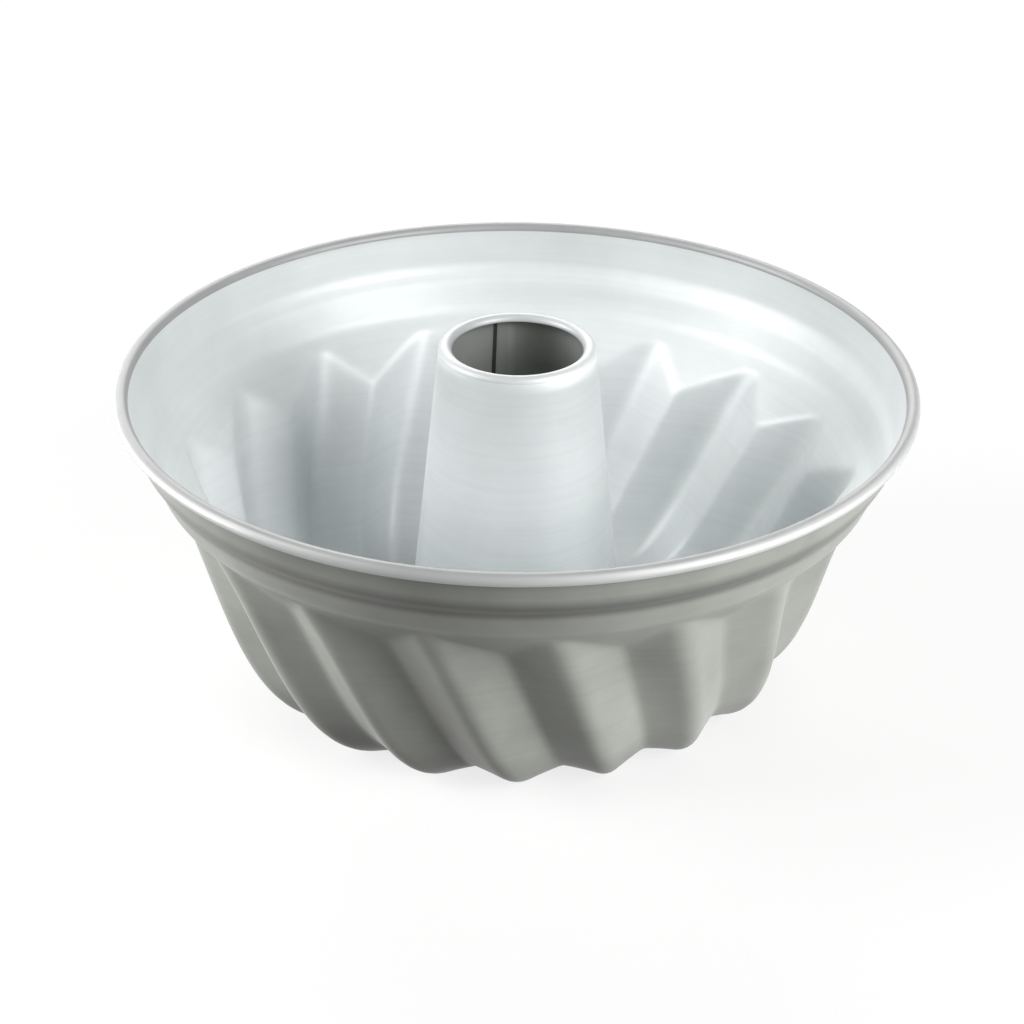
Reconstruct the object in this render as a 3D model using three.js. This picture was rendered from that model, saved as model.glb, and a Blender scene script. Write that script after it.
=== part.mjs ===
// Kugelhopf mould: a ring mould of thin sheet steel with swirling flutes and a conical chimney.
// Millimetres, +Z up. The lobes of the base rest on z = 0 and the chimney stands on the Z axis.
import * as THREE from "three";
import { mergeVertices } from "three/addons/utils/BufferGeometryUtils.js";

// Sheet and wire
const sheet = 0.6; // thickness of the body and of the chimney
const wireDiameter = 2; // wire inside the rolled rim
const fitGap = 0.3; // clearance between pieces that touch

// Rim and collar of the body, measured on the middle of the sheet
const rimDiameter = 220; // over the rolled rim
const bodyHeight = 89.5; // base to the top of the rolled rim
const upperBandHeight = 10.5; // wire centre to the step below the rim
const upperBandTaper = 2.4; // how far the upper band leans in
const stepHeight = 3.4;
const stepInset = 2.8;
const lowerBandHeight = 7.7; // step to the lower edge of the collar
const lowerBandTaper = 3.2;
const shoulderHeight = 3.8; // sloped shoulder from the collar to the top of the flutes
const shoulderInset = 3.9;

// Flutes
const fluteCount = 17;
const fluteStart = 276.1; // degrees from +X to one crest at the top of the flutes
const swirl = 19.7; // degrees that a flute turns on its way down to the base
const topDepth = 4.8; // valley depth at the ledges, halfway down and at the base
const middleDepth = 7.2;
const baseDepth = 2.8;
const ledgeRun = 10.5; // wall length over which a valley sinks in under the collar
const crestLand = 3; // widths of the rounded crest and valley at the top of the flutes
const valleyLand = 2;

// Wall and base
const wallLean = 23.7; // degrees from upright, below the shoulder
const wallPull = 28.5; // how far the wall keeps that lean before it bends
const basePull = 25.3; // how far the base keeps flat before it bends up
const restWidth = 10; // flat ring of the base that the mould rests on
const hubRise = 9.3; // width of the slope from the base up to the hub land
const hubHeight = 6; // underside of the hub land above the base
const hubCollar = 5; // short collar of the body around the chimney

// Chimney
const chimneyHeight = 101.1; // base to the top of the lip
const chimneyTopDiameter = 42.8; // outside, at the lip
const chimneyFootDiameter = 62.4; // outside, where the cone meets z = 0
const lipDiameter = 3.6; // across the lip
const lipTurn = 180; // degrees that the lip is turned over into the bore
const footFlange = 4.5; // flange under the hub land
const flangeMargin = 1.5; // hub land outside the flange
const seamAngle = 101; // degrees from +X to the long seam
const seamWidth = 4.5;
const seamHeight = 0.6;

// Facets
const curlPoints = 10;
const wallStations = [0.3, 0.46, 0.6, 0.72, 0.83, 0.92, 1];
const swirlSteps = 60; // steps along the wall that add up the swirl
const chimneyColumns = 36;
const wireSides = 6;
const wireColumns = 102;

const beadRadius = wireDiameter / 2 + fitGap + sheet;
const wireRadius = rimDiameter / 2 - beadRadius;
const wireHeight = bodyHeight - beadRadius;
const radians = THREE.MathUtils.degToRad;
const point = (r, z) => new THREE.Vector2(r, z);

const material = (color, roughness) =>
  new THREE.MeshStandardMaterial({ color, roughness, metalness: 1 });

// Points of an arc of a rolled edge, from one angle to another (radians).
function rolledArc(centre, radius, from, to, count) {
  const turn = to - from;
  const at = (i) => from + (turn * i) / (count - 1);
  const spot = (a) => point(centre.x + radius * Math.cos(a), centre.y + radius * Math.sin(a));
  return Array.from({ length: count }, (_, i) => spot(at(i)));
}

// Angle at which a roll ends so that its free edge stays clear of the sheet that it came from.
const rollEnd = (radius) => Math.acos((sheet + fitGap) / radius - 1);

// Closed outline of a sheet whose middle follows the path, with the path station of each point.
function sheetOutline(path) {
  const normals = path.map((p, i) => {
    const before = point().subVectors(p, path[i - 1] ?? p).normalize();
    const after = point().subVectors(path[i + 1] ?? p, p).normalize();
    const along = point().addVectors(before, after).normalize();
    const stretch = 1 / Math.max(along.dot(before), along.dot(after));
    return point(-along.y, along.x).multiplyScalar((stretch * sheet) / 2);
  });
  const side = (sign) =>
    path.map((p, i) => ({ station: i, at: p.clone().addScaledVector(normals[i], sign) }));
  const outline = [...side(-1), ...side(1).reverse()];
  if (THREE.ShapeUtils.area(outline.map((o) => o.at)) < 0) outline.reverse();
  return outline;
}

// Revolves a sheet outline and puts each vertex where shape(column, outline point) says.
// flips(column) turns the diagonal of the quads after that column.
function revolveSheet(outline, columns, shape, flips) {
  const closed = [...outline, outline[0]];
  const blank = new THREE.LatheGeometry(closed.map((o) => o.at), columns);
  const position = blank.getAttribute("position");
  const index = [];
  for (let column = 0; column <= columns; column++) {
    closed.forEach((o, j) => {
      const vertex = column * closed.length + j;
      position.setXYZ(vertex, ...shape(column % columns, o));
      if (column === columns || j === outline.length) return;
      const [a, b] = [vertex, vertex + closed.length];
      const turned = flips(column, o, closed[j + 1]);
      index.push(...(turned ? [a, b, b + 1, a, b + 1, a + 1] : [a, b, a + 1, b + 1, a + 1, b]));
    });
  }
  blank.setIndex(index);
  blank.deleteAttribute("normal");
  blank.deleteAttribute("uv");
  const solid = mergeVertices(blank);
  solid.computeVertexNormals();
  return solid;
}

const onCircle = (r, angle, z) => [r * Math.cos(angle), r * Math.sin(angle), z];

// Cone of the chimney's outside, and the flange at its foot.
const chimneySlope = (chimneyFootDiameter - chimneyTopDiameter) / 2 / chimneyHeight;
const chimneyRadiusAt = (z) => chimneyFootDiameter / 2 - chimneySlope * z;
const flangeHeight = hubHeight - fitGap - sheet / 2;
const flangeRadius = chimneyRadiusAt(flangeHeight) + footFlange;

// Rings of the base, from the chimney outward.
const landRadius = flangeRadius + flangeMargin;
const restInside = landRadius + hubRise;
const baseRadius = restInside + restWidth;

// Middle line of the body sheet from the free edge of the rolled rim down to the collar of the hub.
// Each flute station knows how far the flutes have turned and how far a valley may sink in there.
function bodyStations() {
  const rollRadius = beadRadius - sheet / 2;
  const curl = rolledArc(
    point(wireRadius, wireHeight), rollRadius, -rollEnd(rollRadius), Math.PI, curlPoints,
  );

  const bandTop = curl[curlPoints - 1];
  const stepTop = point(bandTop.x - upperBandTaper, bandTop.y - upperBandHeight);
  const stepFoot = point(stepTop.x - stepInset, stepTop.y - stepHeight);
  const collarEdge = point(stepFoot.x - lowerBandTaper, stepFoot.y - lowerBandHeight);
  const fluteTop = point(collarEdge.x - shoulderInset, collarEdge.y - shoulderHeight);

  const lean = radians(wallLean);
  const restEdge = point(baseRadius, sheet / 2);
  const wall = new THREE.CubicBezierCurve(
    fluteTop,
    point(fluteTop.x - wallPull * Math.sin(lean), fluteTop.y - wallPull * Math.cos(lean)),
    point(restEdge.x + basePull, restEdge.y),
    restEdge,
  );
  const depth = new THREE.QuadraticBezierCurve(
    point(0, topDepth), point(0.5, middleDepth), point(1, baseDepth),
  );
  const ledge = ledgeRun / wall.getLength();

  // A flute keeps one slant to the wall, so it turns faster where the wall is narrower.
  const steps = wall.getSpacedPoints(swirlSteps);
  const turns = [0];
  for (let i = 0; i < swirlSteps; i++) turns.push(turns[i] + 2 / (steps[i].x + steps[i + 1].x));
  const turnAt = (down) => {
    const step = Math.min(Math.floor(down * swirlSteps), swirlSteps - 1);
    const reached = THREE.MathUtils.lerp(turns[step], turns[step + 1], down * swirlSteps - step);
    return (swirl * reached) / turns[swirlSteps];
  };

  const fluteStation = (down) => {
    const along = wall.getTangentAt(down);
    const sink = depth.getPoint(down).y * Math.min(down / ledge, 1);
    const inward = point(along.y, -along.x);
    return { at: wall.getPointAt(down), turn: turnAt(down), depth: depth.getPoint(down).y, sink, inward };
  };
  const flutes = [0, ledge / 2, ledge, ...wallStations].map(fluteStation);

  const landHeight = hubHeight + sheet / 2;
  const collarRadius = (z) => chimneyRadiusAt(z) + fitGap + sheet / 2;
  const up = point(0, 1);
  const collarTop = landHeight + hubCollar;
  const hub = [
    { at: point(restInside, sheet / 2), depth: baseDepth / 2, sink: baseDepth / 2 },
    { at: point(landRadius, landHeight), depth: 0, sink: 0 },
    { at: point(collarRadius(landHeight), landHeight), depth: 0, sink: 0 },
    { at: point(collarRadius(collarTop), collarTop), depth: 0, sink: 0 },
  ].map((station) => ({ ...station, turn: swirl, inward: up }));

  const plain = [...curl, stepTop, stepFoot, collarEdge].map((at) => ({
    at, turn: 0, depth: 0, sink: 0, inward: up,
  }));
  return [...plain, ...flutes, ...hub];
}

// The body: a turned blank pressed into flutes that sink in under the collar and swirl to the base.
function bodyShell() {
  const stations = bodyStations();
  const outline = sheetOutline(stations.map((s) => s.at));
  const pitch = (2 * Math.PI) / fluteCount;
  const topRadius = stations.find((s) => s.depth > 0).at.x;
  const crest = crestLand / 2 / (pitch * topRadius);
  const valley = 0.5 - valleyLand / 2 / (pitch * topRadius);
  const middle = (crest + valley) / 2;
  // Columns of one flute as shares of the pitch from the crest, with how deep each lies.
  const fluteColumns = [
    { share: crest, deep: 0 },
    { share: middle, deep: 0.5 },
    { share: valley, deep: 1 },
    { share: 1 - valley, deep: 1 },
    { share: 1 - middle, deep: 0.5 },
    { share: 1 - crest, deep: 0 },
  ];
  const perFlute = fluteColumns.length;

  const shape = (column, o) => {
    const station = stations[o.station];
    const { share, deep } = fluteColumns[column % perFlute];
    const around = (Math.floor(column / perFlute) + share) * pitch;
    const angle = radians(fluteStart + station.turn) + around;
    const sunk = Math.min(station.depth * deep, station.sink);
    return onCircle(o.at.x + station.inward.x * sunk, angle, o.at.y + station.inward.y * sunk);
  };
  const flips = (column, o, next) => {
    const falling = column % perFlute < perFlute / 2 - 1;
    const descending = next.station > o.station;
    return falling === descending;
  };
  return revolveSheet(outline, fluteCount * perFlute, shape, flips);
}

// The wire that the rim is rolled around.
function rimWire() {
  const section = rolledArc(point(wireRadius, wireHeight), wireDiameter / 2, 0, 2 * Math.PI, wireSides + 1);
  section[wireSides].copy(section[0]);
  return new THREE.LatheGeometry(section, wireColumns).rotateX(Math.PI / 2);
}

// Middle line of the chimney sheet, from the flange under the hub up to the lip turned into the bore.
function chimneyPath() {
  const middleAt = (z) => chimneyRadiusAt(z) - sheet / 2;
  const rollRadius = (lipDiameter - sheet) / 2;
  const lipHeight = chimneyHeight - lipDiameter / 2;
  const lipCentre = point(middleAt(lipHeight) - rollRadius, lipHeight);
  const lip = rolledArc(lipCentre, rollRadius, 0, radians(lipTurn), curlPoints);
  return [point(flangeRadius, flangeHeight), point(middleAt(flangeHeight), flangeHeight), ...lip];
}

// The chimney: a rolled cone with a long seam that stands proud on the inside of the bore.
function chimneyTube() {
  const path = chimneyPath();
  const outline = sheetOutline(path);
  const inside = (o) => o.at.x < path[o.station].x;
  const foot = path[1];
  const seamHalf = seamWidth / 2 / foot.x;
  const flank = (seamHalf * 2 * seamHeight) / seamWidth;
  const seamColumns = [-seamHalf - flank, -seamHalf, seamHalf, seamHalf + flank];
  const plainColumns = chimneyColumns - seamColumns.length;
  const open = 2 * Math.PI - 2 * (seamHalf + flank);
  const plainAngle = (i) => seamHalf + flank + (open * (i + 1)) / (plainColumns + 1);
  const angles = [...seamColumns, ...Array.from({ length: plainColumns }, (_, i) => plainAngle(i))];
  const onSeam = (column) => column === 1 || column === 2;
  const shape = (column, o) => {
    const raised = onSeam(column) && o.station > 0 && o.station < 3 && inside(o);
    const r = o.at.x - (raised ? seamHeight : 0);
    return onCircle(r, radians(seamAngle) + angles[column], o.at.y);
  };
  return revolveSheet(outline, chimneyColumns, shape, () => false);
}

const mould = new THREE.Group();
mould.name = "kugelhopf_mould";

function addPart(name, geometry, surface) {
  const mesh = new THREE.Mesh(geometry, surface);
  mesh.name = name;
  mould.add(mesh);
}

addPart("body_shell", bodyShell(), material(0xb9bbb6, 0.38));
addPart("rim_wire", rimWire(), material(0x8f9090, 0.5));
addPart("chimney_tube", chimneyTube(), material(0xd3dadc, 0.35));

export default mould;
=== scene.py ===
"""Kugelhopf mould of tinned sheet steel: finished meshes, materials, studio light and camera."""
from math import acos, cos, hypot, pi, radians, sin

import bpy
from mathutils import Matrix, Vector


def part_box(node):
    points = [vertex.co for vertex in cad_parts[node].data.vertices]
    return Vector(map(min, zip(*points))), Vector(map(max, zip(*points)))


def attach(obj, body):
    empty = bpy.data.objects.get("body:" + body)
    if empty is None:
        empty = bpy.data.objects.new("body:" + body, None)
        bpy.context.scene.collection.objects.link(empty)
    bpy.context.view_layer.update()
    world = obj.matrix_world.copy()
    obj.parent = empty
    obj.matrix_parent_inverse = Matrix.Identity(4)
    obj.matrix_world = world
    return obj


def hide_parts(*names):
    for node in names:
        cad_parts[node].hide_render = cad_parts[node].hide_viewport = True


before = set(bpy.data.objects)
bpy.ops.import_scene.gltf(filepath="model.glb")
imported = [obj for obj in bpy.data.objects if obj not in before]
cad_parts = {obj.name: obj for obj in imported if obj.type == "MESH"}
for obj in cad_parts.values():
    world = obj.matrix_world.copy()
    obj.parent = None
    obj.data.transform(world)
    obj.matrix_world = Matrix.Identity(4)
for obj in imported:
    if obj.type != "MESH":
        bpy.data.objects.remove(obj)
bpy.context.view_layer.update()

MM = 0.001

# Sizes taken from the frame. These and the sizes below are in millimetres.
body_low, body_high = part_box("body_shell")
_, chimney_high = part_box("chimney_tube")
RIM_RADIUS = min(body_high[0], body_high[1], -body_low[0], -body_low[1]) / MM
BODY_HEIGHT = body_high[2] / MM
CHIMNEY_HEIGHT = chimney_high[2] / MM

# Sheet and rolled rim
SHEET = 0.6
WIRE_DIAMETER = 2.0
FIT_GAP = 0.3
BEAD_RADIUS = WIRE_DIAMETER / 2 + FIT_GAP + SHEET

# Collar
UPPER_BAND_HEIGHT = 10.5
UPPER_BAND_TAPER = 2.4
STEP_HEIGHT = 3.4
STEP_INSET = 2.8
LOWER_BAND_HEIGHT = 7.7
LOWER_BAND_TAPER = 3.2
SHOULDER_HEIGHT = 3.8
SHOULDER_INSET = 3.9
STEP_ROUND = 2.0
STEP_FOOT_ROUND = 1.0
COLLAR_ROUND = 2.0

# Flutes. The shares are parts of half a flute, and FACE_FLAT is how far its face bows out.
FLUTE_COUNT = 17
FLUTE_START = radians(276.1)
SWIRL = radians(19.7)
TOP_DEPTH = 4.8
MIDDLE_DEPTH = 7.2
BASE_DEPTH = 2.8
LEDGE_RUN = 10.5
LEDGE_ROUND = 0.6
CREST_SHARE = 0.22
VALLEY_SHARE = 0.08
FACE_FLAT = 0.34

# Wall and base
WALL_LEAN = radians(23.7)
WALL_PULL = 28.5
BASE_PULL = 25.3
REST_WIDTH = 10.0
HUB_RISE = 9.3
HUB_HEIGHT = 6.0
HUB_COLLAR = 5.0
HUB_FOOT_ROUND = 6.0
HUB_LAND_ROUND = 3.0
HUB_COLLAR_ROUND = 1.2

# Chimney
CHIMNEY_TOP_RADIUS = 21.4
CHIMNEY_FOOT_RADIUS = 31.2
LIP_DIAMETER = 3.6
LIP_TURN = pi
FOOT_FLANGE = 4.5
FLANGE_MARGIN = 1.5
FLANGE_ROUND = 1.5
SEAM_ANGLE = radians(101)
SEAM_WIDTH = 4.5
SEAM_HEIGHT = 0.6

# Mesh density: columns around, and points along each stretch of a profile
FLUTE_COLUMNS = 20
CHIMNEY_COLUMNS = 144
ROLL_POINTS = 26
ROUND_POINTS = 7
UPPER_BAND_POINTS = 6
LOWER_BAND_POINTS = 4
SHOULDER_POINTS = 3
WALL_POINTS = 60
HUB_POINTS = 3
LAND_POINTS = 2
FLANGE_POINTS = 2
CONE_POINTS = 24
CURVE_STEPS = 20  # steps per point that measure a curve

# Rows of the chimney that carry the seam: the first one, and how many past the foot of the lip
SEAM_FIRST_ROW = 3
SEAM_ROWS_IN_LIP = 2

# Limits of the profiles
ROUND_LIMIT = 0.49  # most of a straight stretch that one rounding takes
CORNER_LIMIT = 0.5  # sharpest corner where the sheet keeps its thickness, as cosine of half its turn

# Order of the materials on each piece. The cut edges of a sheet have the first one.
BODY_OUTSIDE, BODY_INSIDE, BODY_RIM = range(3)
BORE, TUBE, SEAM, LIP = range(4)
CUT_EDGE = 0


def chimney_radius(z):
    """Outside radius of the chimney at height z."""
    return CHIMNEY_FOOT_RADIUS - (CHIMNEY_FOOT_RADIUS - CHIMNEY_TOP_RADIUS) * z / CHIMNEY_HEIGHT


FLANGE_HEIGHT = HUB_HEIGHT - FIT_GAP - SHEET / 2
FLANGE_RADIUS = chimney_radius(FLANGE_HEIGHT) + FOOT_FLANGE
LAND_RADIUS = FLANGE_RADIUS + FLANGE_MARGIN
REST_INSIDE = LAND_RADIUS + HUB_RISE
BASE_RADIUS = REST_INSIDE + REST_WIDTH


# Profiles

def arc(centre, radius, start, end, count):
    """Points of an arc in the (r, z) plane."""
    angles = [start + (end - start) * i / (count - 1) for i in range(count)]
    return [(centre[0] + radius * cos(a), centre[1] + radius * sin(a)) for a in angles]


def roll_end(radius):
    """Angle at which a rolled edge ends clear of the sheet that it came from."""
    return acos((SHEET + FIT_GAP) / radius - 1)


def rounded(before, corner, after, radius):
    """Points that round a corner between two straight stretches with a parabola of that reach."""
    c = Vector(corner)
    ends = []
    for other in (before, after):
        away = Vector(other) - c
        ends.append(c + away.normalized() * min(radius, away.length * ROUND_LIMIT))
    points = []
    for i in range(ROUND_POINTS):
        t = i / (ROUND_POINTS - 1)
        points.append(tuple(ends[0] * (1 - t) ** 2 + c * 2 * t * (1 - t) + ends[1] * t * t))
    return points


def straight(start, end, count):
    """Points between two ends, without the ends."""
    a, b = Vector(start), Vector(end)
    return [tuple(a.lerp(b, i / (count + 1))) for i in range(1, count + 1)]


def bezier(p0, p1, p2, p3, count):
    """Points of a cubic curve, evenly spaced along it, and its length."""
    steps = count * CURVE_STEPS
    fine = []
    for i in range(steps + 1):
        t = i / steps
        weights = ((1 - t) ** 3, 3 * t * (1 - t) ** 2, 3 * t * t * (1 - t), t ** 3)
        fine.append(tuple(sum(w * p[k] for w, p in zip(weights, (p0, p1, p2, p3))) for k in (0, 1)))
    reach = [0.0]
    for a, b in zip(fine, fine[1:]):
        reach.append(reach[-1] + hypot(b[0] - a[0], b[1] - a[1]))
    points = []
    k = 0
    for i in range(count + 1):
        goal = reach[-1] * i / count
        while k < len(fine) - 2 and reach[k + 1] < goal:
            k += 1
        t = (goal - reach[k]) / (reach[k + 1] - reach[k])
        points.append(tuple(fine[k][j] + (fine[k + 1][j] - fine[k][j]) * t for j in (0, 1)))
    return points, reach[-1]


def side_normals(path):
    """Left-hand normal of each point of a path, stretched at corners to keep the sheet even."""
    normals = []
    for i, p in enumerate(path):
        before = Vector(p) - Vector(path[max(i - 1, 0)])
        after = Vector(path[min(i + 1, len(path) - 1)]) - Vector(p)
        before = before.normalized() if before.length else after.normalized()
        after = after.normalized() if after.length else before
        along = (before + after).normalized()
        normals.append(Vector((-along.y, along.x)) / max(along.dot(before), CORNER_LIMIT))
    return normals


class Station:
    """One point of the middle line of a sheet, with what the flutes do there.

    Turn is how far the flutes have swirled, depth the depth of their valleys, sink the most that
    the ledge under the collar lets them sink, and inward the direction of that in (r, z).
    """

    def __init__(self, at, turn=0.0, depth=0.0, sink=0.0, inward=(0.0, 1.0)):
        self.at = at
        self.turn = turn
        self.depth = depth
        self.sink = sink
        self.inward = inward


def body_stations():
    """Middle line of the body from the free edge of the rolled rim to the collar of the hub."""
    roll = BEAD_RADIUS - SHEET / 2
    wire = (RIM_RADIUS - BEAD_RADIUS, BODY_HEIGHT - BEAD_RADIUS)
    curl = arc(wire, roll, -roll_end(roll), pi, ROLL_POINTS)

    band_top = curl[-1]
    step_top = (band_top[0] - UPPER_BAND_TAPER, band_top[1] - UPPER_BAND_HEIGHT)
    step_foot = (step_top[0] - STEP_INSET, step_top[1] - STEP_HEIGHT)
    collar_edge = (step_foot[0] - LOWER_BAND_TAPER, step_foot[1] - LOWER_BAND_HEIGHT)
    flute_top = (collar_edge[0] - SHOULDER_INSET, collar_edge[1] - SHOULDER_HEIGHT)
    step_curve = rounded(band_top, step_top, step_foot, STEP_ROUND)
    foot_curve = rounded(step_top, step_foot, collar_edge, STEP_FOOT_ROUND)
    collar_curve = rounded(step_foot, collar_edge, flute_top, COLLAR_ROUND)
    collar = (straight(band_top, step_curve[0], UPPER_BAND_POINTS) + step_curve + foot_curve
              + straight(foot_curve[-1], collar_curve[0], LOWER_BAND_POINTS) + collar_curve
              + straight(collar_curve[-1], flute_top, SHOULDER_POINTS))

    base = (BASE_RADIUS, SHEET / 2)
    lean_end = (flute_top[0] - WALL_PULL * sin(WALL_LEAN), flute_top[1] - WALL_PULL * cos(WALL_LEAN))
    bend_start = (base[0] + BASE_PULL, base[1])
    wall, wall_length = bezier(flute_top, lean_end, bend_start, base, WALL_POINTS)
    normals = side_normals(wall)
    ledge = LEDGE_RUN / wall_length
    turns = [0.0]
    for a, b in zip(wall, wall[1:]):
        turns.append(turns[-1] + 2 / (a[0] + b[0]))
    flutes = []
    for i, at in enumerate(wall):
        down = i / WALL_POINTS
        depth = (TOP_DEPTH * (1 - down) ** 2 + MIDDLE_DEPTH * 2 * down * (1 - down)
                 + BASE_DEPTH * down ** 2)
        inward = -normals[i].normalized()
        turn = SWIRL * turns[i] / turns[-1]
        flutes.append(Station(at, turn, depth, TOP_DEPTH * down / ledge, tuple(inward)))

    land = HUB_HEIGHT + SHEET / 2
    collar_radius = lambda z: chimney_radius(z) + FIT_GAP + SHEET / 2
    rest_end = (REST_INSIDE, SHEET / 2)
    land_edge = (LAND_RADIUS, land)
    land_end = (collar_radius(land), land)
    collar_top = (collar_radius(land + HUB_COLLAR), land + HUB_COLLAR)
    rest_curve = rounded(base, rest_end, land_edge, HUB_FOOT_ROUND)
    land_curve = rounded(rest_end, land_edge, land_end, HUB_LAND_ROUND)
    bend_curve = rounded(land_edge, land_end, collar_top, HUB_COLLAR_ROUND)
    hub_points = (straight(base, rest_curve[0], HUB_POINTS) + rest_curve
                  + straight(rest_curve[-1], land_curve[0], HUB_POINTS) + land_curve
                  + straight(land_curve[-1], bend_curve[0], LAND_POINTS) + bend_curve
                  + straight(bend_curve[-1], collar_top, HUB_POINTS) + [collar_top])
    hub = []
    for at in hub_points:
        near = min(max((at[0] - LAND_RADIUS) / (BASE_RADIUS - LAND_RADIUS), 0), 1)
        depth = BASE_DEPTH * near * near * (3 - 2 * near)
        hub.append(Station(at, SWIRL, depth, BASE_DEPTH))
    return [Station(p) for p in curl + collar] + flutes + hub


def smooth_min(a, b, reach):
    """The smaller of two values, blended where they are within reach of each other."""
    if reach <= 0:
        return min(a, b)
    h = min(max(0.5 + 0.5 * (b - a) / reach, 0), 1)
    return b + (a - b) * h - reach * h * (1 - h)


def flute_wave(share):
    """Depth of the flute from 0 on the crest to 1 in the valley.

    It is a V with nearly flat faces, a rounded crest and a rounded valley.
    """
    x = 1 - abs(2 * share - 1)
    face = lambda t: t + FACE_FLAT * t * (1 - t)
    slope = lambda t: 1 + FACE_FLAT * (1 - 2 * t)
    low, high = CREST_SHARE, 1 - VALLEY_SHARE
    crest = face(low) - slope(low) * low / 2
    valley = face(high) + slope(high) * VALLEY_SHARE / 2
    if x < low:
        depth = crest + slope(low) * x * x / (2 * low)
    elif x > high:
        depth = valley - slope(high) * (1 - x) ** 2 / (2 * VALLEY_SHARE)
    else:
        depth = face(x)
    return (depth - crest) / (valley - crest)


# Meshes

def sheet_mesh(name, path, columns, place, finish):
    """A closed sheet around the Z axis.

    Side is 1 on the left-hand side of the path and -1 on the right-hand side.
    place(station, column, side, r, z) gives each vertex, finish(station, column, side) the
    material of each face, and the two edges have CUT_EDGE.
    """
    normals = side_normals(path)
    count = len(path)
    verts = []
    for side in (1, -1):
        for i, p in enumerate(path):
            r = p[0] + side * normals[i].x * SHEET / 2
            z = p[1] + side * normals[i].y * SHEET / 2
            verts.extend(Vector(place(i, c, side, r, z)) * MM for c in range(columns))
    left = lambda i, c: i * columns + c % columns
    right = lambda i, c: (count + i) * columns + c % columns
    faces = []
    finishes = []
    for i in range(count - 1):
        for c in range(columns):
            faces.append((left(i, c), left(i + 1, c), left(i + 1, c + 1), left(i, c + 1)))
            faces.append((right(i, c), right(i, c + 1), right(i + 1, c + 1), right(i + 1, c)))
            finishes.extend(finish(i, c, side) for side in (1, -1))
    end = count - 1
    for c in range(columns):
        faces.append((left(0, c), left(0, c + 1), right(0, c + 1), right(0, c)))
        faces.append((left(end, c + 1), left(end, c), right(end, c), right(end, c + 1)))
        finishes.extend((CUT_EDGE, CUT_EDGE))

    mesh = bpy.data.meshes.new(name)
    mesh.from_pydata(verts, [], faces)
    mesh.polygons.foreach_set("material_index", finishes)
    mesh.polygons.foreach_set("use_smooth", [True] * len(faces))
    mesh.validate()
    mesh.update()
    piece = bpy.data.objects.new(name, mesh)
    bpy.context.scene.collection.objects.link(piece)
    return piece


def make_body():
    """The bowl, with its rolled rim, collar, flutes and hub."""
    stations = body_stations()
    columns = FLUTE_COUNT * FLUTE_COLUMNS
    pitch = 2 * pi / FLUTE_COUNT
    waves = [flute_wave(c % FLUTE_COLUMNS / FLUTE_COLUMNS) for c in range(columns)]

    def place(i, c, side, r, z):
        station = stations[i]
        blend = LEDGE_ROUND * min(1, station.sink / (2 * LEDGE_ROUND))
        sunk = smooth_min(station.depth * waves[c], station.sink, blend) if station.depth else 0
        sunk = max(sunk, 0)
        angle = FLUTE_START + station.turn + c / FLUTE_COLUMNS * pitch
        r += station.inward[0] * sunk
        return r * cos(angle), r * sin(angle), z + station.inward[1] * sunk

    def finish(i, c, side):
        if side > 0:
            return BODY_OUTSIDE
        return BODY_RIM if i < ROLL_POINTS - 1 else BODY_INSIDE

    return sheet_mesh("fluted_body", [s.at for s in stations], columns, place, finish)


def make_chimney():
    """The chimney, with its flange, long seam and lip. A painted shadow, in the seam's material, is on
    one of its edges.
    """
    middle = lambda z: chimney_radius(z) - SHEET / 2
    roll = (LIP_DIAMETER - SHEET) / 2
    lip_height = CHIMNEY_HEIGHT - LIP_DIAMETER / 2
    lip_centre = (middle(lip_height) - roll, lip_height)
    lip = arc(lip_centre, roll, 0, LIP_TURN, ROLL_POINTS)
    edge = (FLANGE_RADIUS, FLANGE_HEIGHT)
    foot = (middle(FLANGE_HEIGHT), FLANGE_HEIGHT)
    bend = rounded(edge, foot, lip[0], FLANGE_ROUND)
    path = ([edge] + straight(edge, bend[0], FLANGE_POINTS) + bend
            + straight(bend[-1], lip[0], CONE_POINTS) + lip)
    lip_row = len(path) - len(lip)
    seam_last_row = lip_row + SEAM_ROWS_IN_LIP
    column_angle = 2 * pi / CHIMNEY_COLUMNS
    seam_edge = int((SEAM_WIDTH / 2) / (CHIMNEY_TOP_RADIUS * column_angle))

    def place(i, c, side, r, z):
        angle = SEAM_ANGLE + c * column_angle
        off_seam = min(c, CHIMNEY_COLUMNS - c) * column_angle * path[i][0]
        if side > 0 and SEAM_FIRST_ROW <= i <= seam_last_row:
            raised = min(max((SEAM_WIDTH / 2 + SEAM_HEIGHT - off_seam) / SEAM_HEIGHT, 0), 1)
            r -= SEAM_HEIGHT * raised
        return r * cos(angle), r * sin(angle), z

    def finish(i, c, side):
        if side < 0:
            return LIP if i >= lip_row else TUBE
        # Painted shadow on one edge of the seam.
        return SEAM if c == seam_edge and SEAM_FIRST_ROW <= i < seam_last_row else BORE

    return sheet_mesh("chimney", path, CHIMNEY_COLUMNS, place, finish)


# Materials

# Patterns of the tin, in repeats per metre. Rings and scuffs are stretched around the mould.
CLOUD_SCALE = 28.0
RING_SCALE = (9.0, 9.0, 750.0)
SCUFF_SCALE = (45.0, 45.0, 1900.0)
GRAIN_SCALE = 1400.0
WAVE_SCALE = 55.0
WIRE_SCALE = 300.0

# Values of each pattern between which a tone or a roughness changes
NOISE_SPAN = (0.3, 0.7)
RING_SPAN = (0.3, 0.6)
SCUFF_SPAN = (0.66, 0.72)
CREASE_SPAN = (0.35, 0.9)
SCUFF_TONE = 0.97
TIN_SPECULAR = 0.15

# Bumps of the tin: distance in metres, and strength
WAVE_BUMP = (0.002, 0.08)
RING_BUMP = (0.0002, 0.07)
GRAIN_BUMP = (0.00005, 0.2)
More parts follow.
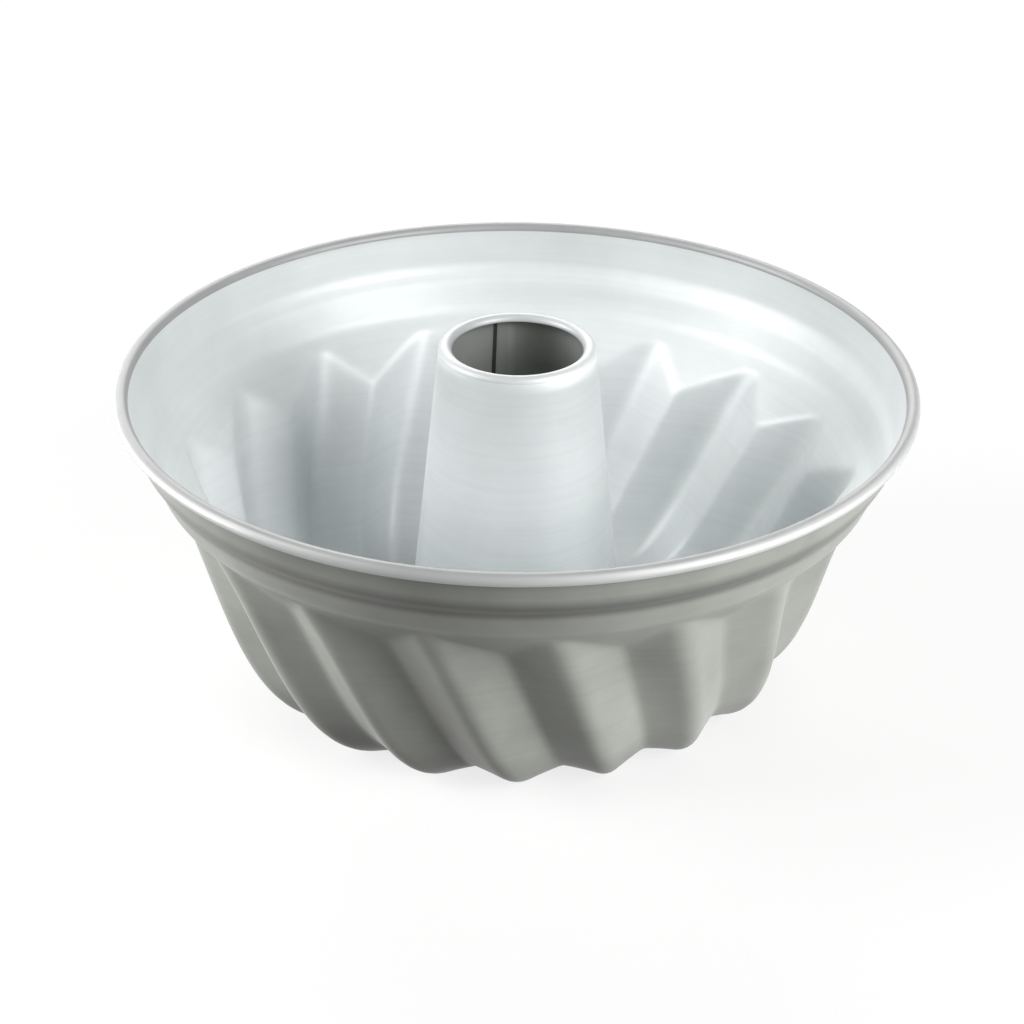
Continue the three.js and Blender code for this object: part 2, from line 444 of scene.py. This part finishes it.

# Painted shade, in millimetres
CREASE_REACH = 7.0  # how near a crease gets darker
STEP_SHADE_REACH = 2.6  # reach above and below the step of the collar
FOOT_SHADE_HEIGHT = 16.0  # height at the foot of the wall
STEP_FADE = 1 / 4  # share of the step, at its top, where the painted shade already fades

WIRE_DARK = (0.30, 0.30, 0.30)
WIRE_PALE = (0.42, 0.42, 0.41)
WIRE_ROUGHNESS = (0.4, 0.6)


def node_tree(name):
    material = bpy.data.materials.new(name)
    material.use_nodes = True
    tree = material.node_tree
    shader = tree.nodes["Principled BSDF"]
    return material, tree, shader


def noise(tree, vector, scale, detail, roughness=0.5):
    node = tree.nodes.new("ShaderNodeTexNoise")
    node.inputs["Scale"].default_value = scale
    node.inputs["Detail"].default_value = detail
    node.inputs["Roughness"].default_value = roughness
    tree.links.new(vector, node.inputs["Vector"])
    return node.outputs["Fac"]


def stretched(tree, source, scale):
    node = tree.nodes.new("ShaderNodeMapping")
    node.inputs["Scale"].default_value = scale
    tree.links.new(source, node.inputs["Vector"])
    return node.outputs["Vector"]


def ramp(tree, value, stops):
    node = tree.nodes.new("ShaderNodeValToRGB")
    elements = node.color_ramp.elements
    while len(elements) < len(stops):
        elements.new(0.5)
    for element, (position, colour) in zip(elements, stops):
        element.position = position
        element.color = (*colour, 1)
    tree.links.new(value, node.inputs["Fac"])
    return node.outputs["Color"]


def level(tree, value, low, high):
    """A pattern turned into values from low to high."""
    node = tree.nodes.new("ShaderNodeMapRange")
    node.inputs["From Min"].default_value = NOISE_SPAN[0]
    node.inputs["From Max"].default_value = NOISE_SPAN[1]
    node.inputs["To Min"].default_value = low
    node.inputs["To Max"].default_value = high
    tree.links.new(value, node.inputs["Value"])
    return node.outputs["Result"]


def bump(tree, height, distance, strength, below=None):
    node = tree.nodes.new("ShaderNodeBump")
    node.inputs["Distance"].default_value = distance
    node.inputs["Strength"].default_value = strength
    tree.links.new(height, node.inputs["Height"])
    if below:
        tree.links.new(below, node.inputs["Normal"])
    return node.outputs["Normal"]


def multiplied(tree, first, second):
    node = tree.nodes.new("ShaderNodeMix")
    node.data_type = "RGBA"
    node.blend_type = "MULTIPLY"
    node.inputs["Factor"].default_value = 1.0
    tree.links.new(first, node.inputs["A"])
    tree.links.new(second, node.inputs["B"])
    return node.outputs["Result"]


def height_share(tree, place):
    """0 to 1 from the foot of the mould to its rim."""
    parts = tree.nodes.new("ShaderNodeSeparateXYZ")
    tree.links.new(place, parts.inputs[0])
    node = tree.nodes.new("ShaderNodeMapRange")
    node.inputs["From Max"].default_value = BODY_HEIGHT * MM
    tree.links.new(parts.outputs["Z"], node.inputs["Value"])
    return node.outputs["Result"]


def grey(value):
    return (value, value, value)


def tinned_steel(name, dark, pale, smooth, dull, metallic, crease_shade, streak=0.96, step=1.0, foot=1.0):
    """Satin tinned sheet: cloudy tone, rings from the drawing, sparse scuffs, and painted shade in
    the creases, at the step of the collar and at the foot."""
    material, tree, shader = node_tree(name)
    coords = tree.nodes.new("ShaderNodeTexCoord")
    place = coords.outputs["Object"]
    cloud = noise(tree, place, CLOUD_SCALE, detail=5.0, roughness=0.55)
    rings = noise(tree, stretched(tree, place, RING_SCALE), 1.0, detail=4.0, roughness=0.6)
    scuffs = noise(tree, stretched(tree, place, SCUFF_SCALE), 1.0, detail=3.0)
    grain = noise(tree, place, GRAIN_SCALE, detail=2.0)
    waves = noise(tree, place, WAVE_SCALE, detail=2.0)
    # Painted shade: ambient occlusion darkens the sheet in its creases, where shade falls.
    crease = tree.nodes.new("ShaderNodeAmbientOcclusion")
    crease.only_local = True
    crease.inputs["Distance"].default_value = CREASE_REACH * MM
    step_top = BODY_HEIGHT - BEAD_RADIUS - UPPER_BAND_HEIGHT
    step_foot = step_top - STEP_HEIGHT
    # Painted shade: the tone is darker at the step of the collar and at the foot of the wall. This
    # stands in for the shadow under the mould that these downward-facing parts show.
    heights = [(0.0, foot), (FOOT_SHADE_HEIGHT, 1.0), (step_foot - STEP_SHADE_REACH, 1.0), (step_foot, step),
               (step_top - STEP_HEIGHT * STEP_FADE, step), (step_top + STEP_SHADE_REACH, 1.0)]

    def shaded(value, span, tone_low):
        return ramp(tree, value, [(span[0], grey(tone_low)), (span[1], grey(1.0))])

    tone = ramp(tree, cloud, [(NOISE_SPAN[0], dark), (NOISE_SPAN[1], pale)])
    by_height = ramp(tree, height_share(tree, place), [(z / BODY_HEIGHT, grey(v)) for z, v in heights])
    for shade in (shaded(rings, RING_SPAN, streak), shaded(scuffs, SCUFF_SPAN, SCUFF_TONE), by_height,
                  shaded(crease.outputs["AO"], CREASE_SPAN, crease_shade)):
        tone = multiplied(tree, tone, shade)
    tree.links.new(tone, shader.inputs["Base Color"])
    shader.inputs["Metallic"].default_value = metallic
    shader.inputs["Specular IOR Level"].default_value = TIN_SPECULAR
    tree.links.new(level(tree, rings, smooth, dull), shader.inputs["Roughness"])
    soft = bump(tree, waves, *WAVE_BUMP)
    fine = bump(tree, rings, *RING_BUMP, soft)
    tree.links.new(bump(tree, grain, *GRAIN_BUMP, fine), shader.inputs["Normal"])
    return material


def drawn_wire():
    material, tree, shader = node_tree("drawn_wire")
    coords = tree.nodes.new("ShaderNodeTexCoord")
    streaks = noise(tree, coords.outputs["Object"], WIRE_SCALE, detail=4.0)
    tone = ramp(tree, streaks, [(NOISE_SPAN[0], WIRE_DARK), (NOISE_SPAN[1], WIRE_PALE)])
    tree.links.new(tone, shader.inputs["Base Color"])
    shader.inputs["Metallic"].default_value = 1.0
    tree.links.new(level(tree, streaks, *WIRE_ROUGHNESS), shader.inputs["Roughness"])
    return material


# Stage

CAMERA_AT = Vector((0.0, -0.9703, 0.5642))
CAMERA_AIM = Vector((-0.0011, 0.0, 0.0494))
CAMERA_ROLL = 0.0093
PHOTO_SIZE = 1024
FOCAL_PIXELS = 3951
SENSOR = 36.0

WHITE = (1, 1, 1, 1)
LAMP_WHITE = (1.0, 0.975, 0.97)
FLOOR_HALF = 1.2  # metres
FLOOR_GREY = (0.2, 0.2, 0.2, 1)
FLOOR_ROUGHNESS = 0.9
FLOOR_GLOW = 0.79  # with the lamps' light on the grey, this makes the floor white
WORLD_LIGHT = 0.02
WORLD_SEEN = 1.0


def add_camera():
    data = bpy.data.cameras.new("photo_camera")
    data.sensor_width = SENSOR
    data.sensor_fit = "HORIZONTAL"
    data.lens = FOCAL_PIXELS * SENSOR / PHOTO_SIZE
    camera = bpy.data.objects.new("photo_camera", data)
    turn = (CAMERA_AIM - CAMERA_AT).to_track_quat("-Z", "Y").to_matrix().to_4x4()
    camera.matrix_world = Matrix.Translation(CAMERA_AT) @ turn @ Matrix.Rotation(CAMERA_ROLL, 4, "Z")
    bpy.context.scene.collection.objects.link(camera)
    bpy.context.scene.camera = camera


def add_softbox(name, azimuth, elevation, distance, width, height, brightness):
    """A soft lamp aimed at the mould. Angles are in degrees and lengths in metres.

    Brightness is that of a white card that faces the lamp at the mould.
    """
    aim = Vector((0, 0, BODY_HEIGHT * MM / 2))
    around, up = radians(azimuth), radians(elevation)
    toward = Vector((cos(around) * cos(up), sin(around) * cos(up), sin(up)))
    data = bpy.data.lights.new(name, "AREA")
    data.shape = "RECTANGLE"
    data.size = width
    data.size_y = height
    data.energy = brightness * (pi * distance) ** 2
    data.color = LAMP_WHITE
    lamp = bpy.data.objects.new(name, data)
    turn = (-toward).to_track_quat("-Z", "Y").to_matrix().to_4x4()
    lamp.matrix_world = Matrix.Translation(aim + toward * distance) @ turn
    bpy.context.scene.collection.objects.link(lamp)


def seen_rays(tree):
    """1 for the rays that show the background itself: camera, glossy and transmission rays."""
    path = tree.nodes.new("ShaderNodeLightPath")
    total = path.outputs["Is Camera Ray"]
    for kind in ("Is Glossy Ray", "Is Transmission Ray"):
        either = tree.nodes.new("ShaderNodeMath")
        either.operation = "MAXIMUM"
        tree.links.new(total, either.inputs[0])
        tree.links.new(path.outputs[kind], either.inputs[1])
        total = either.outputs[0]
    return total


def add_floor():
    mesh = bpy.data.meshes.new("floor")
    corners = [(x * FLOOR_HALF, y * FLOOR_HALF, 0) for x, y in ((-1, -1), (1, -1), (1, 1), (-1, 1))]
    mesh.from_pydata(corners, [], [(0, 1, 2, 3)])
    floor = bpy.data.objects.new("floor", mesh)
    bpy.context.scene.collection.objects.link(floor)
    material, tree, shader = node_tree("pale_floor")
    shader.inputs["Base Color"].default_value = FLOOR_GREY
    shader.inputs["Roughness"].default_value = FLOOR_ROUGHNESS
    shader.inputs["Specular IOR Level"].default_value = 0.0
    shader.inputs["Emission Color"].default_value = WHITE
    glow = tree.nodes.new("ShaderNodeMath")
    glow.operation = "MULTIPLY"
    glow.inputs[1].default_value = FLOOR_GLOW
    tree.links.new(seen_rays(tree), glow.inputs[0])
    tree.links.new(glow.outputs[0], shader.inputs["Emission Strength"])
    mesh.materials.append(material)


def add_world():
    world = bpy.data.worlds.new("white_studio")
    world.use_nodes = True
    tree = world.node_tree
    light = tree.nodes["Background"]
    light.inputs["Color"].default_value = WHITE
    light.inputs["Strength"].default_value = WORLD_LIGHT
    seen = tree.nodes.new("ShaderNodeBackground")
    seen.inputs["Color"].default_value = WHITE
    seen.inputs["Strength"].default_value = WORLD_SEEN
    mix = tree.nodes.new("ShaderNodeMixShader")
    tree.links.new(seen_rays(tree), mix.inputs["Fac"])
    tree.links.new(light.outputs[0], mix.inputs[1])
    tree.links.new(seen.outputs[0], mix.inputs[2])
    tree.links.new(mix.outputs[0], tree.nodes["World Output"].inputs["Surface"])
    bpy.context.scene.world = world


# Assembly

# Painted shade: the outside has a far darker tone than the inside of the same tin. This stands in for
# the shade and dark reflections on the overhanging wall.
shaded_outside_tin = tinned_steel(
    "shaded_outside_tin", dark=(0.172, 0.182, 0.1675), pale=(0.234, 0.2475, 0.2285),
    smooth=0.30, dull=0.38, metallic=0.06, crease_shade=0.4, streak=0.95, step=0.45, foot=0.55)
inside_tin = tinned_steel(
    "inside_tin", dark=(0.687, 0.727, 0.732), pale=(0.777, 0.817, 0.823),
    smooth=0.44, dull=0.54, metallic=0.2, crease_shade=0.65)
# Painted shade: the bead is the same tin in a darker tone, which holds back the lamps' light on it.
shaded_rim_tin = tinned_steel(
    "shaded_rim_tin", dark=(0.35, 0.365, 0.362), pale=(0.41, 0.425, 0.422),
    smooth=0.44, dull=0.54, metallic=0.25, crease_shade=0.5)
# Painted shade: the lip is the inside tin in a darker tone, which holds back the left softbox's light
# on it.
shaded_lip_tin = tinned_steel(
    "shaded_lip_tin", dark=(0.56, 0.592, 0.595), pale=(0.63, 0.662, 0.665),
    smooth=0.44, dull=0.54, metallic=0.25, crease_shade=0.7)
# Painted shade: the bore is the same tin in a darker tone, standing in for the shade inside the narrow
# tube.
shaded_bore_tin = tinned_steel(
    "shaded_bore_tin", dark=(0.335, 0.353, 0.34), pale=(0.415, 0.435, 0.42),
    smooth=0.34, dull=0.44, metallic=0.25, crease_shade=0.6)
# Painted shadow: a near-black line on one edge of the seam, standing in for the shadow gap along the
# lap.
painted_seam_shadow = tinned_steel(
    "painted_seam_shadow", dark=(0.05, 0.052, 0.049), pale=(0.085, 0.09, 0.086),
    smooth=0.5, dull=0.6, metallic=0.2, crease_shade=0.8)

body = make_body()
for tin in (shaded_outside_tin, inside_tin, shaded_rim_tin):
    body.data.materials.append(tin)
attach(body, "root")
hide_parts("body_shell")

chimney = make_chimney()
for tin in (shaded_bore_tin, inside_tin, painted_seam_shadow, shaded_lip_tin):
    chimney.data.materials.append(tin)
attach(chimney, "root")
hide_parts("chimney_tube")

wire_object = bpy.data.objects["rim_wire"]
wire_object.data.materials.clear()
wire_object.data.materials.append(drawn_wire())

add_camera()
add_floor()
add_world()
add_softbox("back_softbox", azimuth=99, elevation=30, distance=2.2, width=1.9, height=1.2,
            brightness=0.71)
add_softbox("left_softbox", azimuth=188, elevation=30, distance=2.2, width=1.2, height=1.2,
            brightness=0.8)
add_softbox("right_softbox", azimuth=318, elevation=30, distance=2.2, width=1.2, height=1.2,
            brightness=0.84)
add_softbox("left_strip", azimuth=173, elevation=-2, distance=0.5, width=0.4, height=0.055,
            brightness=1.8)
add_softbox("right_strip", azimuth=333, elevation=-2, distance=0.65, width=0.5, height=0.055,
            brightness=1.65)

bpy.context.scene.view_settings.view_transform = "Standard"
